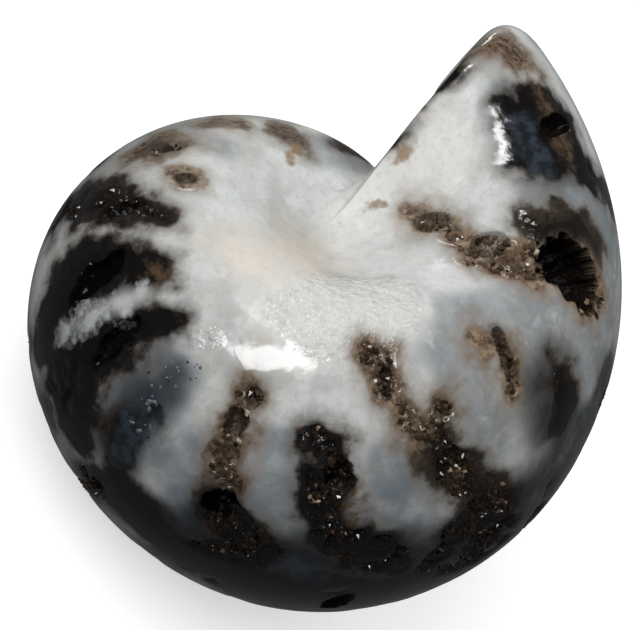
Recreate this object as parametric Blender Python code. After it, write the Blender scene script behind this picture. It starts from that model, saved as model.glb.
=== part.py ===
"""A polished ammonite: one coiled, chambered shell turned to stone, ground smooth and lying on a flank.

Metres, +Z up. The origin is on the surface that the piece lies on, under the middle of the piece.
The shell is worked out about its coil axis first. A place on it is a turn, from 0 a whole turn
behind the rim to 1 at the rim, and a crown share, from 0 at the upper umbilicus over 1 at the
outer edge to 2 at the lower umbilicus.
"""

import math

import bmesh
import bpy
from mathutils import Matrix, Vector, noise

# The coil
RIM_RADIUS = 0.0385  # coil axis to the outer edge at the rim
EXPANSION = 2.31  # growth of that radius over the last whole turn
HALF_WIDTH_RATIO = 0.68  # half the whorl's width, as a share of its radius
RADIUS_SWELL = (0.021, -0.026, -0.003, 0.007, 0.026, 0.014, 0.014)  # at each sixth of the turn
WIDTH_SWELL = (0.075, -0.028, -0.009, 0.0)  # at each third of the turn

# The whorl's section
SHOULDER_REACH = 0.496  # where the whorl is widest, as a share of its radius
CROWN_POWER = 1.9  # 2 is an ellipse from the shoulder to the outer edge
UMBILICUS_DIP = 0.16  # depth of the dip at the axis, as a share of the half width
UMBILICUS_SHARE = 0.25  # part of the crown that the dip takes
UMBILICUS_WIDTH = 0.85  # half width at the axis, as a share of the mean half width

# The rim and the last septum behind it
RIM_ROUNDING = 0.0105  # at the outer edge
SHOULDER_ROUNDING = 0.0030  # at the shoulders
ROUNDING_START = 0.30  # the crown share where the rounding begins to grow towards the outer edge
ROUNDING_SPREAD = 0.35
RIM_BOW = 0.006  # how far the rim's flanks run ahead of its outer edge, as a share of a turn
BOW_START = 0.8  # the turn where the bow begins
SEPTUM_DEPTH = 0.0045  # at its longest span

# How the piece lies
REST_LEAN = 16.8  # degrees that the coil axis leans away from the vertical
REST_TOWARDS = 152.1  # degrees round the coil from the rim, towards which it leans
FACING = 93.0  # degrees from +X to the rim, seen from above
FLAT_DEPTH = 0.0005  # ground off under its lowest places, where the piece rests

# Mesh
COLUMNS = 68  # a multiple of four, so that one column lies along +X
RIM_COLUMNS = 6
ROWS = 38
OPEN_ROW = 3  # the first row from each axis end where the rim stands free
SEPTUM_CUTS = 5
PIT_DETAIL = 2
PIT_ROUGHNESS = 0.28  # how far a pit's wall strays, as a share of its size

# Open pits where a chamber isn't filled: turn, crown share, length from the umbilicus outwards,
# width along the coil, depth and slant, in millimetres and degrees
PITS = (
    (0.803, 0.385, 6.6, 4.8, 3.4, 10),  # the deep one near the rim
    (0.912, 0.330, 7.4, 2.0, 1.6, 14),
    (0.842, 0.135, 3.6, 2.0, 0.7, 0),
    (0.788, 0.200, 3.2, 2.6, 0.8, 20),
    (0.710, 0.411, 5.0, 1.5, 0.9, 0),
    (0.716, 0.560, 3.0, 1.8, 0.8, 0),
    (0.665, 0.640, 3.6, 2.6, 0.9, 30),
    (0.615, 0.431, 2.6, 1.1, 1.2, 15),
    (0.602, 0.686, 3.8, 2.4, 1.2, 10),
    (0.539, 0.589, 1.6, 1.4, 0.9, 0),
    (0.537, 0.664, 2.2, 1.6, 0.8, 0),
    (0.553, 0.881, 3.2, 2.8, 1.8, 0),
    (0.497, 0.790, 2.8, 1.7, 0.7, 25),
    (0.450, 0.740, 5.6, 2.0, 1.0, 0),
    (0.405, 0.720, 6.4, 2.6, 1.3, 0),
    (0.360, 0.600, 4.6, 1.6, 0.8, 0),
    (0.338, 0.381, 1.7, 1.5, 0.7, 0),
    (0.290, 0.520, 2.2, 1.4, 0.6, 0),
    (0.180, 0.900, 3.0, 1.6, 0.8, 0),
    (0.640, 1.120, 4.6, 2.2, 1.3, 0),
    (0.495, 1.180, 3.6, 1.8, 1.0, 0),
    (0.875, 1.300, 5.6, 3.0, 2.2, 0),
    (0.765, 1.480, 4.8, 2.2, 1.4, 10),
    (0.560, 1.420, 3.4, 1.6, 1.0, 0),
    (0.410, 1.350, 4.4, 1.8, 1.1, 0),
    (0.310, 1.520, 2.6, 1.4, 0.7, 0),
)

STONE_COLOUR = (0.72, 0.72, 0.71, 1.0)
STONE_ROUGHNESS = 0.18
CREASE_ANGLE = math.radians(38)


def clear_scene():
    for item in list(bpy.data.objects):
        bpy.data.objects.remove(item)


def smooth_step(share):
    share = min(max(share, 0.0), 1.0)
    return share * share * (3 - 2 * share)


def curve_through(values, share):
    """The height at share, 0 to 1, of a smooth curve through evenly spaced values."""
    place = min(max(share, 0.0), 1.0) * (len(values) - 1)
    index = min(int(place), len(values) - 2)
    before = values[max(index - 1, 0)]
    low, high = values[index], values[index + 1]
    after = values[min(index + 2, len(values) - 1)]
    t = place - index
    bend = 2 * before - 5 * low + 4 * high - after + t * (3 * (low - high) + after - before)
    return low + 0.5 * t * (high - before + t * bend)


def venter_radius(turn):
    """Coil axis to the outer edge of the whorl."""
    return RIM_RADIUS * EXPANSION ** (turn - 1) * math.exp(curve_through(RADIUS_SWELL, turn))


def half_width(turn):
    return HALF_WIDTH_RATIO * venter_radius(turn) * math.exp(curve_through(WIDTH_SWELL, turn))


MEAN_TURN_RADIUS = RIM_RADIUS * EXPANSION**-0.5
MEAN_HALF_WIDTH = sum(half_width(step / 12) for step in range(13)) / 13


def shell_point(turn, crown, inset=0.0):
    """A place on the shell, about its coil axis. The inset draws it in towards the axis."""
    share = 1 - abs(1 - crown)
    if share < UMBILICUS_SHARE:
        slope = share / UMBILICUS_SHARE
        reach = SHOULDER_REACH * slope
        rise = 1 - UMBILICUS_DIP * (1 - slope**2) ** 2
        bow = 0.0
    else:
        slope = 1.0
        flank = (share - UMBILICUS_SHARE) / (1 - UMBILICUS_SHARE)
        angle = flank * math.pi / 2
        reach = SHOULDER_REACH + (1 - SHOULDER_REACH) * math.sin(angle) ** (2 / CROWN_POWER)
        rise = max(math.cos(angle), 0.0) ** (2 / CROWN_POWER)
        bow = RIM_BOW * math.sin(math.pi * flank) ** 2
    clear = smooth_step(slope)
    radius = MEAN_TURN_RADIUS + (venter_radius(turn) - MEAN_TURN_RADIUS) * clear
    axis_width = UMBILICUS_WIDTH * MEAN_HALF_WIDTH
    width = axis_width + (half_width(turn) - axis_width) * clear
    shrink = 1 - inset * clear / radius
    side = 1 if crown <= 1 else -1
    azimuth = 2 * math.pi * (turn + bow * smooth_step((turn - BOW_START) / (1 - BOW_START)))
    distance = radius * reach * shrink
    return Vector(
        (distance * math.cos(azimuth), distance * math.sin(azimuth), side * width * rise * shrink)
    )


def column_place(column, crown):
    """The turn and the inset of a column of the mesh. The last few columns round off the rim."""
    last = COLUMNS - RIM_COLUMNS
    outer = smooth_step((1 - abs(1 - crown) - ROUNDING_START) / ROUNDING_SPREAD)
    rounding = SHOULDER_ROUNDING + (RIM_ROUNDING - SHOULDER_ROUNDING) * outer
    rounding_turn = rounding / (2 * math.pi * RIM_RADIUS)
    if column <= last:
        return (1 - rounding_turn) * column / last, 0.0
    bend = (column - last) / RIM_COLUMNS * math.pi / 2
    turn = 1 - rounding_turn * (1 - math.sin(bend))
    return turn, rounding * (1 - math.cos(bend))


def column_of(place):
    return round(math.atan2(place.y, place.x) / (2 * math.pi) * COLUMNS) % COLUMNS


def row_of(place):
    return math.acos(min(max(place.z, -1.0), 1.0)) / math.pi * ROWS


def open_seam(ball):
    """Splits the ball from row to row along its first column, which becomes the start and the rim."""
    low, high = OPEN_ROW - 0.5, ROWS - OPEN_ROW + 0.5
    seam = [
        edge
        for edge in ball.edges
        if all(column_of(v.co) == 0 and low < row_of(v.co) < high for v in edge.verts)
    ]
    bmesh.ops.split_edges(ball, edges=seam)


def form_whorl(ball):
    """Moves each point of the ball to its place on the shell, and returns the two sides of the seam."""
    start, rim = {}, {}
    moved = {}
    for vert in ball.verts:
        row, column = round(row_of(vert.co)), column_of(vert.co)
        crown = 2 * row / ROWS
        if column == 0 and 0 < row < ROWS:
            ahead = sum(1 for face in vert.link_faces if face.calc_center_median().y > 0)
            if 0 < ahead < len(vert.link_faces):
                moved[vert] = (shell_point(0.0, crown) + shell_point(1.0, crown)) / 2
                start[row] = rim[row] = vert
                continue
            column = 0 if ahead else COLUMNS
            (start if ahead else rim)[row] = vert
        turn, inset = column_place(column, crown)
        moved[vert] = shell_point(turn, crown, inset)
    for vert, place in moved.items():
        vert.co = place
    return start, rim


def nearest_span(place, spans):
    """The septum's span that a point lies on, and how far the point is from the start to the rim."""
    best = None
    for low, high in spans:
        along = high - low
        share = (place - low).dot(along) / along.length_squared
        off = (low + along * share - place).length
        if best is None or off < best[0]:
            best = (off, along.length, share)
    return best[1], best[2]


def close_rim(ball, start, rim):
    """Bridges the start of the turn and the rim, and hollows the bridge as the last septum."""
    rows = sorted(row for row in start if start[row] is not rim[row])
    for row in range(rows[0] - 1, rows[-1] + 1):
        corners = [start[row], start[row + 1], rim[row + 1], rim[row]]
        ball.faces.new(list(dict.fromkeys(corners)))
    rungs = [ball.edges.get((start[row], rim[row])) for row in rows]
    spans = [(start[row].co.copy(), rim[row].co.copy()) for row in rows]
    longest = max((high - low).length for low, high in spans)
    made = bmesh.ops.subdivide_edges(ball, edges=rungs, cuts=SEPTUM_CUTS, use_grid_fill=True)
    for vert in made["geom_inner"]:
        if isinstance(vert, bmesh.types.BMVert):
            length, share = nearest_span(vert.co, spans)
            span_share = length / longest
            vert.co.y -= SEPTUM_DEPTH * span_share**2 * math.sqrt(max(math.sin(math.pi * share), 0))


def lying():
    """Turns the coil axis upright with its lean, and turns the rim to its facing."""
    towards = math.radians(REST_TOWARDS)
    lean_axis = Vector((-math.sin(towards), math.cos(towards), 0))
    lean = Matrix.Rotation(math.radians(REST_LEAN), 4, lean_axis)
    return Matrix.Rotation(math.radians(FACING), 4, "Z") @ lean


def grind_flat(ball):
    """Takes the lowest places off level, so that the piece rests on small flats."""
    level = min(vert.co.z for vert in ball.verts) + FLAT_DEPTH
    cut = bmesh.ops.bisect_plane(
        ball,
        geom=ball.verts[:] + ball.edges[:] + ball.faces[:],
        plane_co=(0, 0, level),
        plane_no=(0, 0, -1),
        clear_outer=True,
    )
    edges = [item for item in cut["geom_cut"] if isinstance(item, bmesh.types.BMEdge)]
    bmesh.ops.contextual_create(ball, geom=edges)


def add_object(name, ball, collection):
    mesh = bpy.data.meshes.new(name)
    ball.to_mesh(mesh)
    ball.free()
    thing = bpy.data.objects.new(name, mesh)
    collection.objects.link(thing)
    return thing


def add_collection(name):
    collection = bpy.data.collections.new(name)
    bpy.context.scene.collection.children.link(collection)
    return collection


def make_shell(collection):
    ball = bmesh.new()
    bmesh.ops.create_uvsphere(ball, u_segments=COLUMNS, v_segments=ROWS, radius=1.0)
    open_seam(ball)
    start, rim = form_whorl(ball)
    close_rim(ball, start, rim)
    bmesh.ops.recalc_face_normals(ball, faces=ball.faces)
    bmesh.ops.transform(ball, matrix=lying(), verts=ball.verts)
    grind_flat(ball)
    return add_object("ammonite", ball, collection)


def surface_frame(turn, crown):
    """A matrix at a place on the shell: outwards from the umbilicus, along the coil, and out of it."""
    step = 0.002
    place = shell_point(turn, crown)
    outwards = (shell_point(turn, crown + step) - shell_point(turn, crown - step)).normalized()
    along = shell_point(turn + step, crown) - shell_point(turn - step, crown)
    away = outwards.cross(along).normalized()
    if away.dot(place) < 0:
        away = -away
    along = away.cross(outwards)
    frame = Matrix((outwards, along, away)).transposed().to_4x4()
    frame.translation = place
    return frame


def make_pit(number, pit, collection):
    """A rough lump that cuts one pit. It sits on the shell, half of it outside."""
    turn, crown, length, width, depth, slant = pit
    ball = bmesh.new()
    bmesh.ops.create_icosphere(ball, subdivisions=PIT_DETAIL, radius=1.0)
    for vert in ball.verts:
        vert.co *= 1 + PIT_ROUGHNESS * noise.noise(vert.co * 1.7 + Vector((number * 7.3, 0, 0)))
    size = Matrix.Diagonal((length / 2000, width / 2000, depth / 1000, 1.0))
    turned = Matrix.Rotation(math.radians(slant), 4, "Z")
    place = lying() @ surface_frame(turn, crown) @ turned @ size
    bmesh.ops.transform(ball, matrix=place, verts=ball.verts)
    cutter = add_object(f"pit_{number:02d}", ball, collection)
    cutter.hide_render = True
    cutter.display_type = "WIRE"
    return cutter


def stone():
    material = bpy.data.materials.new("polished_chalcedony")
    material.use_nodes = True
    shader = material.node_tree.nodes["Principled BSDF"]
    shader.inputs["Base Color"].default_value = STONE_COLOUR
    shader.inputs["Roughness"].default_value = STONE_ROUGHNESS
    shader.inputs["Metallic"].default_value = 0.0
    return material


def set_on_ground(things):
    """Moves all the things together, so that the first of them stands over the origin."""
    anchor = bpy.data.objects.new("resting_place", None)
    bpy.context.scene.collection.objects.link(anchor)
    bpy.context.view_layer.update()
    finished = things[0].evaluated_get(bpy.context.evaluated_depsgraph_get())
    corners = [Vector(corner) for corner in finished.bound_box]
    low = [min(corner[axis] for corner in corners) for axis in range(3)]
    high = [max(corner[axis] for corner in corners) for axis in range(3)]
    anchor.location = (-(low[0] + high[0]) / 2, -(low[1] + high[1]) / 2, -low[2])
    for thing in things:
        thing.parent = anchor


def main():
    clear_scene()
    shell = make_shell(add_collection("polished_ammonite"))
    shell.data.shade_smooth()
    shell.data.set_sharp_from_angle(angle=CREASE_ANGLE)
    shell.data.materials.append(stone())
    cutters = add_collection("pit_cutters")
    pits = [make_pit(number, pit, cutters) for number, pit in enumerate(PITS, 1)]
    cut = shell.modifiers.new("pits", "BOOLEAN")
    cut.operation = "DIFFERENCE"
    cut.operand_type = "COLLECTION"
    cut.collection = cutters
    set_on_ground([shell, *pits])


main()
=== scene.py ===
import math
import random

import bmesh
import bpy
import numpy as np
from mathutils import Matrix, Vector, noise


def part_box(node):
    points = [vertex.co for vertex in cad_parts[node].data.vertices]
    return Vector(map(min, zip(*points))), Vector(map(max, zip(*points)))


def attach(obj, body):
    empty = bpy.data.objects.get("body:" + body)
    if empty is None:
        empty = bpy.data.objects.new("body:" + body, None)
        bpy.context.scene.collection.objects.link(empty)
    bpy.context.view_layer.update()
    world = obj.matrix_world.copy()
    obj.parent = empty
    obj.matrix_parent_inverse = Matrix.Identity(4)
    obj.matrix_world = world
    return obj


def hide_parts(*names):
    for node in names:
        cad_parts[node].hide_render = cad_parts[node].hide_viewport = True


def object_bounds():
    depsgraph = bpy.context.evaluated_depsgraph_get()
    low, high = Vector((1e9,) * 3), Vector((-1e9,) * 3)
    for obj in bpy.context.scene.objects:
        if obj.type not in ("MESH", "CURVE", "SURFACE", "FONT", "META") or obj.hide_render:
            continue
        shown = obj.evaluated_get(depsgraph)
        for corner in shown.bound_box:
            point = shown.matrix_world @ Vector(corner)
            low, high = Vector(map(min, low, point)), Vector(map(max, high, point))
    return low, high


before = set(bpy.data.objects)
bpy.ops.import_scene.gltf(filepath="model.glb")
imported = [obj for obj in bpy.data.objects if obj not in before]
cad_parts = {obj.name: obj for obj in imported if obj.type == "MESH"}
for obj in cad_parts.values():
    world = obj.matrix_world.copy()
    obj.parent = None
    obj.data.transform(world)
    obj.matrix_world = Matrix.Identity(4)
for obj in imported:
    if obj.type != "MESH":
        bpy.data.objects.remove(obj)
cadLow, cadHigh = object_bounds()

# A polished ammonite lying on a flank. Metres, +Z up, in the frame of the CAD part.
# A place on the shell is a turn, 0 to 1 at the rim, and a crown share, from 0 at the upper
# umbilicus over 1 at the outer edge to 2 at the lower umbilicus.

coil = dict(
    rimRadius=0.0385,
    expansion=2.31,  # growth of the radius over the last whole turn
    halfWidthRatio=0.68,
    radiusSwell=(0.021, -0.026, -0.003, 0.007, 0.026, 0.014, 0.014),  # at each sixth of the turn
    widthSwell=(0.075, -0.028, -0.009, 0.0),  # at each third of the turn
    shoulderReach=0.496,  # where the whorl is widest, as a share of its radius
    crownPower=1.9,
    umbilicusDip=0.16,
    umbilicusShare=0.25,
    umbilicusWidth=0.85,
    rimRounding=0.0105,  # at the outer edge
    shoulderRounding=0.003,
    roundingStart=0.3,
    roundingSpread=0.35,
    rimBow=0.006,
    bowStart=0.8,
    septumDepth=0.0045,
    restLean=16.8,  # degrees from upright
    restTowards=152.1,
    facing=93.0,
    flatDepth=0.0005,
)

body = dict(
    columns=240,
    rows=128,
    rimColumns=22,
    openRow=10,  # first row from each axis end where the rim stands free
    foldTurn=0.2,  # half the width of the fold that runs from the umbilicus to the rim
    foldColumns=1.05,  # the least half width of that fold
    septumCuts=24,
    creaseAngle=38,
)

# The grid is halved once near the markings and again in pits and grains: how far outside their edges,
# and up to which crown, because the flank that the piece lies on needs less
finer = dict(
    fillingMm=0.8,
    fillingCrown=1.15,
    pitMm=1.2,
    streakMm=1.0,
    pitAgainMm=0.5,
    leastGrain=0.15,
    grainCrown=1.1,
    seamClear=0.012,  # shares of the way round and of the crown that stay whole
    poleClear=0.1,
)

carving = dict(
    granuleMm=0.7,  # spacing of the grains in an open filling
    reliefMm=0.42,
    steepness=1.4,  # how soon a grain reaches its full height
    faintest=0.01,  # fewer grains than this aren't carved
    swell=0.5,  # how much a softer noise adds, and how fine it is against the grains
    swellFineness=0.35,
    dipMm=0.06,  # how far a polished filling lies below the polished stone
    dipFadeMm=0.8,
    dipAtEdge=0.35,
    leastHeight=0.0003,  # nothing nearer to the resting surface is carved
)

drawing = dict(
    stepsPerSpan=5,
    marginMm=6.0,  # no marking reaches further out of its stroke than this
    outside=-99.0,
)

# Open pits: turn, crown, length outwards, width along the coil and depth in mm, slant in degrees
pits = (
    (0.803, 0.398, 8.2, 6.0, 4.4, 10),
    (0.915, 0.318, 4.6, 2.0, 1.5, 14),
    (0.83, 0.135, 3.0, 1.8, 0.6, 0),
    (0.788, 0.2, 3.2, 2.6, 0.7, 20),
    (0.71, 0.411, 5.0, 1.5, 0.9, 0),
    (0.665, 0.64, 3.6, 2.6, 0.9, 30),
    (0.615, 0.431, 2.6, 1.1, 1.2, 15),
    (0.602, 0.686, 3.8, 2.4, 1.2, 10),
    (0.539, 0.589, 1.6, 1.4, 0.9, 0),
    (0.537, 0.664, 2.2, 1.6, 0.8, 0),
    (0.553, 0.881, 3.2, 2.8, 1.8, 0),
    (0.497, 0.79, 2.8, 1.7, 0.3, 25),
    (0.45, 0.74, 5.6, 2.0, 1.0, 0),
    (0.405, 0.72, 6.4, 2.6, 1.3, 0),
    (0.36, 0.6, 4.6, 1.6, 0.8, 0),
    (0.338, 0.381, 1.7, 1.5, 0.7, 0),
    (0.29, 0.52, 2.2, 1.4, 0.6, 0),
    (0.18, 0.9, 3.0, 1.6, 0.8, 0),
    (0.64, 1.12, 4.6, 2.2, 1.3, 0),
    (0.495, 1.18, 3.6, 1.8, 1.0, 0),
    (0.875, 1.3, 5.6, 3.0, 2.2, 0),
    (0.765, 1.48, 4.8, 2.2, 1.4, 10),
    (0.56, 1.42, 3.4, 1.6, 1.0, 0),
    (0.41, 1.35, 4.4, 1.8, 1.1, 0),
    (0.31, 1.52, 2.6, 1.4, 0.7, 0),
)

pitLooks = dict(
    marginMm=1.5,  # nothing of a pit reaches further beyond its length
    lumpsMm=1.1,
    stray=0.34,  # how far the lumps push its wall, as a share of its size
    shift=7.3,  # between one pit's noise and the next one's
    bowl=0.8,  # the lower, the steeper the wall
    outside=-9.0,
    shadeMm=0.4,  # how far outside the edge its shade begins
    shadeFadeMm=0.45,
    shadeLeast=0.15,
    blackMm=2.2,  # a pit about this deep is painted black with shade
)

# Chamber fillings that show from above, from the umbilicus outwards or the other way:
# blackness 0 to 1, openness 0 polished to 1 open druse, then turn, crown, half width in mm
fillings = dict(
    blotchA=(0.25, 0.3, (0.286, 0.6, 2.2), (0.284, 0.55, 3.0), (0.279, 0.5, 2.0)),
    spotA=(0.05, 0.2, (0.331, 0.4, 1.2), (0.337, 0.36, 1.4)),
    blotchA3=(0.15, 0.3, (0.226, 0.48, 1.3), (0.21, 0.46, 2.0), (0.2, 0.43, 1.3)),
    blotchA4=(0.35, 0.3, (0.15, 0.37, 1.4), (0.138, 0.33, 1.5), (0.13, 0.29, 0.6)),
    faintA5=(0.6, 0.0, (0.056, 0.39, 1.0), (0.025, 0.48, 0.8)),
    bandB=(0.65, 0.5, (0.318, 0.92, 1.4), (0.331, 0.78, 2.1), (0.341, 0.69, 2.5), (0.353, 0.6, 2.1),
           (0.366, 0.53, 1.6), (0.38, 0.49, 1.1), (0.387, 0.46, 0.6)),
    edgeB=(0.8, 0.3, (0.325, 0.93, 0.9), (0.344, 0.91, 0.6)),
    bandC=(0.95, 0.2, (0.412, 1.04, 1.4), (0.403, 0.93, 1.8), (0.397, 0.84, 3.0), (0.397, 0.76, 3.0),
           (0.402, 0.69, 2.6), (0.411, 0.62, 2.1), (0.421, 0.57, 1.7), (0.433, 0.53, 1.1),
           (0.443, 0.51, 0.4)),
    bandD=(0.95, 0.25, (0.472, 1.06, 1.5), (0.458, 1.05, 2.8), (0.447, 1.01, 3.5), (0.443, 0.9, 3.4),
           (0.446, 0.81, 2.8), (0.45, 0.74, 2.4), (0.453, 0.67, 1.8), (0.46, 0.62, 1.2),
           (0.469, 0.56, 0.6)),
    bandE=(1.0, 0.0, (0.496, 0.76, 0.1), (0.494, 0.82, 0.7), (0.492, 0.88, 1.2),
           (0.494, 0.95, 1.4), (0.501, 1.02, 1.5), (0.51, 1.08, 2.4), (0.524, 1.09, 2.8),
           (0.534, 1.07, 1.4)),
    bandF=(0.2, 1.0, (0.534, 0.57, 0.9), (0.537, 0.62, 1.1), (0.537, 0.68, 1.3), (0.542, 0.75, 1.3),
           (0.553, 0.82, 1.3), (0.554, 0.88, 1.8), (0.565, 0.92, 2.5), (0.58, 0.96, 2.7),
           (0.594, 0.95, 1.1)),
    fanF=(0.6, 0.7, (0.557, 1.06, 1.7), (0.567, 1.04, 2.3), (0.583, 1.0, 1.9)),
    bandG=(0.75, 0.8, (0.58, 0.61, 1.0), (0.59, 0.62, 1.3), (0.597, 0.67, 1.7), (0.597, 0.73, 2.3),
           (0.602, 0.79, 2.4), (0.616, 0.85, 2.4), (0.633, 0.88, 2.6), (0.649, 0.9, 2.0)),
    bandH=(0.15, 1.0, (0.599, 0.35, 0.5), (0.608, 0.36, 1.0), (0.613, 0.4, 1.2), (0.619, 0.44, 1.1),
           (0.624, 0.48, 1.4), (0.633, 0.52, 1.5), (0.646, 0.54, 1.6), (0.653, 0.51, 1.3),
           (0.661, 0.49, 0.7)),
    lowerH=(0.6, 0.9, (0.653, 0.55, 1.3), (0.654, 0.59, 1.5), (0.658, 0.63, 1.7), (0.67, 0.67, 1.9),
            (0.684, 0.73, 2.2), (0.694, 0.82, 4.2), (0.692, 0.9, 5.6)),
    bandI=(0.15, 0.9, (0.716, 0.37, 0.8), (0.711, 0.41, 1.2), (0.706, 0.46, 1.2), (0.703, 0.51, 0.8)),
    blotchI2=(0.0, 0.1, (0.69, 0.34, 1.0), (0.697, 0.37, 1.1)),
    blotchI=(0.7, 0.3, (0.742, 0.47, 0.9), (0.744, 0.53, 1.8), (0.744, 0.59, 2.0), (0.738, 0.63, 1.4)),
    bandJ=(0.05, 0.9, (0.871, 0.11, 0.3), (0.836, 0.125, 1.1), (0.82, 0.15, 1.0), (0.795, 0.17, 1.1),
           (0.768, 0.2, 1.9), (0.785, 0.26, 2.4), (0.8, 0.33, 2.8), (0.803, 0.42, 3.1),
           (0.807, 0.49, 1.7)),
    topJ=(0.6, 0.4, (0.823, 0.22, 1.0), (0.815, 0.25, 1.8), (0.832, 0.31, 1.8), (0.84, 0.38, 1.6),
          (0.832, 0.45, 1.3)),
    bandK=(1.0, 0.05, (0.94, 0.225, 1.2), (0.918, 0.225, 2.1), (0.893, 0.225, 2.0), (0.893, 0.26, 2.9),
           (0.922, 0.29, 3.2), (0.91, 0.34, 3.0), (0.895, 0.36, 2.6), (0.886, 0.38, 2.2), (0.883, 0.45, 1.8),
           (0.878, 0.52, 1.6)),
    tipL=(0.2, 0.0, (0.996, 0.22, 0.8), (0.988, 0.24, 1.8), (0.978, 0.265, 1.9), (0.967, 0.3, 1.6),
          (0.958, 0.33, 0.9)),
    rimLine=(0.9, 0.0, (1.0, 0.13, 0.1), (1.0, 0.17, 0.2), (1.0, 0.2, 0.2), (1.0, 0.235, 0.2)),
    # the black belt below the outer edge: partly the fillings' own black, partly painted shade on the lower
    # side
    beltBelowAndShade=(1.0, 0.0, (0.51, 1.14, 1.6), (0.559, 1.14, 3.0), (0.599, 1.13, 4.8), (0.641, 1.1, 5.2),
               (0.687, 1.08, 4.6)),
)

fillingLooks = dict(
    wide=(4.2, 3.1),  # size of the noise's lumps in mm, and its shift
    middling=(1.7, 8.7),
    wideMm=1.1,  # how far each noise frays a filling's edge
    middlingMm=0.9,
    clipMm=(-12, 4),
    takeOver=1.6,  # how sharply one filling's looks give way to the next one's, per mm
    edgeCrown=0.74,  # from here to the outer edge the fillings turn blacker
    edgeFade=0.2,
    edgeBlack=0.6,
    grainFromMm=0.2,
    grainFadeMm=0.7,
    cover=(2.2, -0.75, -1.5, 0.6),  # the grains' cover: per openness, at none, and per each noise
    pitGrainMm=0.5,
    pitCover=(3, -0.3),
)

# Other markings: turn, crown and half width in mm, drawn with the same strokes
veils = dict(
    besideE=((0.492, 0.66, 1.2), (0.497, 0.76, 2.0), (0.51, 0.84, 2.6), (0.528, 0.89, 2.3),
             (0.541, 0.99, 1.6)),
    betweenFG=((0.566, 0.66, 1.3), (0.574, 0.76, 2.4), (0.586, 0.86, 2.8), (0.6, 0.94, 2.2)),
    betweenGH=((0.622, 0.62, 1.4), (0.63, 0.7, 2.4), (0.645, 0.78, 2.8), (0.655, 0.86, 2.2)),
    besideK=((0.849, 0.24, 1.9), (0.855, 0.35, 2.1), (0.853, 0.46, 2.1)),
    aboveK=((0.957, 0.22, 1.0), (0.934, 0.21, 0.7), (0.903, 0.21, 0.9)),
    besideD=((0.473, 0.81, 1.6), (0.475, 0.68, 1.4)),
    belowCentre=((0.52, 0.8, 2.0), (0.56, 0.83, 3.0), (0.62, 0.8, 2.6)),
    besideA5=((0.06, 0.33, 2.0), (0.03, 0.4, 1.5)),
)
# dark smoky stone beside some fillings; along the lower outer edge it is partly smoky stone and partly
# painted shade of the side turned away from the lights
murksAndShade = dict(
    shadedLowerEdge=((0.52, 1.12, 3.0), (0.56, 1.05, 4.0), (0.6, 1.02, 5.4), (0.64, 0.99, 6.2),
               (0.69, 0.94, 6.8), (0.723, 0.86, 6.2), (0.756, 0.78, 5.0), (0.787, 0.72, 3.8)),
    besideE=((0.49, 0.94, 2.0), (0.49, 0.84, 1.6), (0.488, 0.74, 1.2), (0.49, 0.66, 0.4)),
    besideI=((0.735, 0.52, 2.4), (0.728, 0.6, 2.0)),
    besideK=((0.905, 0.24, 1.2), (0.88, 0.3, 1.0)),
)
greys = dict(
    # the right flank's grey is partly the stone's own grey and partly painted shade of a flank turned away
    # from the lights
    shadedRightFlank=((0.69, 0.29, 3.6), (0.745, 0.4, 5.0), (0.77, 0.55, 5.4), (0.85, 0.5, 4.0)),
    outsideA=((0.265, 0.38, 2.0), (0.245, 0.6, 3.0), (0.18, 0.6, 3.0)),
    betweenHI=((0.67, 0.36, 3.2), (0.675, 0.44, 3.0), (0.69, 0.58, 3.0)),
)
whites = dict(
    centre=((0.5, 0.24, 4.0), (0.56, 0.28, 5.0), (0.62, 0.22, 4.0)),
    horn=((0.985, 0.17, 2.6), (0.95, 0.14, 4.0), (0.9, 0.11, 4.0), (0.86, 0.05, 3.0)),
    aboveC=((0.37, 0.62, 1.2), (0.378, 0.78, 1.0)),
)
worns = dict(  # rubbed to a satin, less glossy than the rest
    centre=((0.5, 0.18, 3.0), (0.56, 0.24, 3.6), (0.62, 0.2, 3.6), (0.7, 0.2, 3.0)),
    aboveWindow=((0.495, 0.36, 1.0), (0.515, 0.365, 1.0), (0.54, 0.36, 1.0)),
    horn=((0.985, 0.17, 2.6), (0.95, 0.14, 4.0), (0.9, 0.11, 4.0), (0.86, 0.05, 3.0)),
    umbilicus=((0.43, 0.26, 4.0), (0.47, 0.18, 6.0), (0.7, 0.1, 6.0)),
    farFlank=((0.03, 0.3, 5.0), (0.12, 0.3, 7.0), (0.2, 0.36, 8.0), (0.28, 0.34, 6.0)),
)
peaches = dict(
    umbilicus=((0.44, 0.28, 2.5), (0.48, 0.2, 4.0), (0.52, 0.08, 3.0)),
    besideG=((0.612, 0.72, 0.6), (0.618, 0.8, 0.6)),
)
frosts = dict(
    patch=((0.584, 0.21, 4.1), (0.616, 0.25, 3.1), (0.657, 0.18, 2.1)),
    aroundCentre=((0.53, 0.31, 2.0), (0.56, 0.34, 2.2), (0.6, 0.32, 1.8)),
    leftOfWindow=((0.494, 0.53, 0.8), (0.487, 0.56, 0.8)),
)
streaks = dict(
    betweenCD=((0.419, 0.9, 0.5), (0.424, 0.82, 0.9), (0.428, 0.75, 0.6), (0.434, 0.67, 0.6),
               (0.436, 0.61, 0.3)),
)
browns = dict(
    columnK=((0.944, 0.302, 0.4), (0.915, 0.318, 1.3), (0.893, 0.333, 0.9)),
    besideG=((0.61, 0.7, 0.5), (0.617, 0.78, 0.7)),
    besideJ=((0.815, 0.46, 0.7), (0.79, 0.45, 0.7)),
    endC=((0.428, 0.545, 0.5), (0.438, 0.52, 0.4)),
)
blues = dict(  # see-through stone over a filling
    inK=((0.925, 0.225, 1.2), (0.905, 0.235, 1.6), (0.88, 0.24, 1.4)),
    alongE=((0.493, 0.74, 1.0), (0.494, 0.86, 1.6), (0.496, 0.96, 1.4)),
    belowF=((0.602, 0.97, 1.6), (0.612, 0.99, 1.6)),
)
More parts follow.
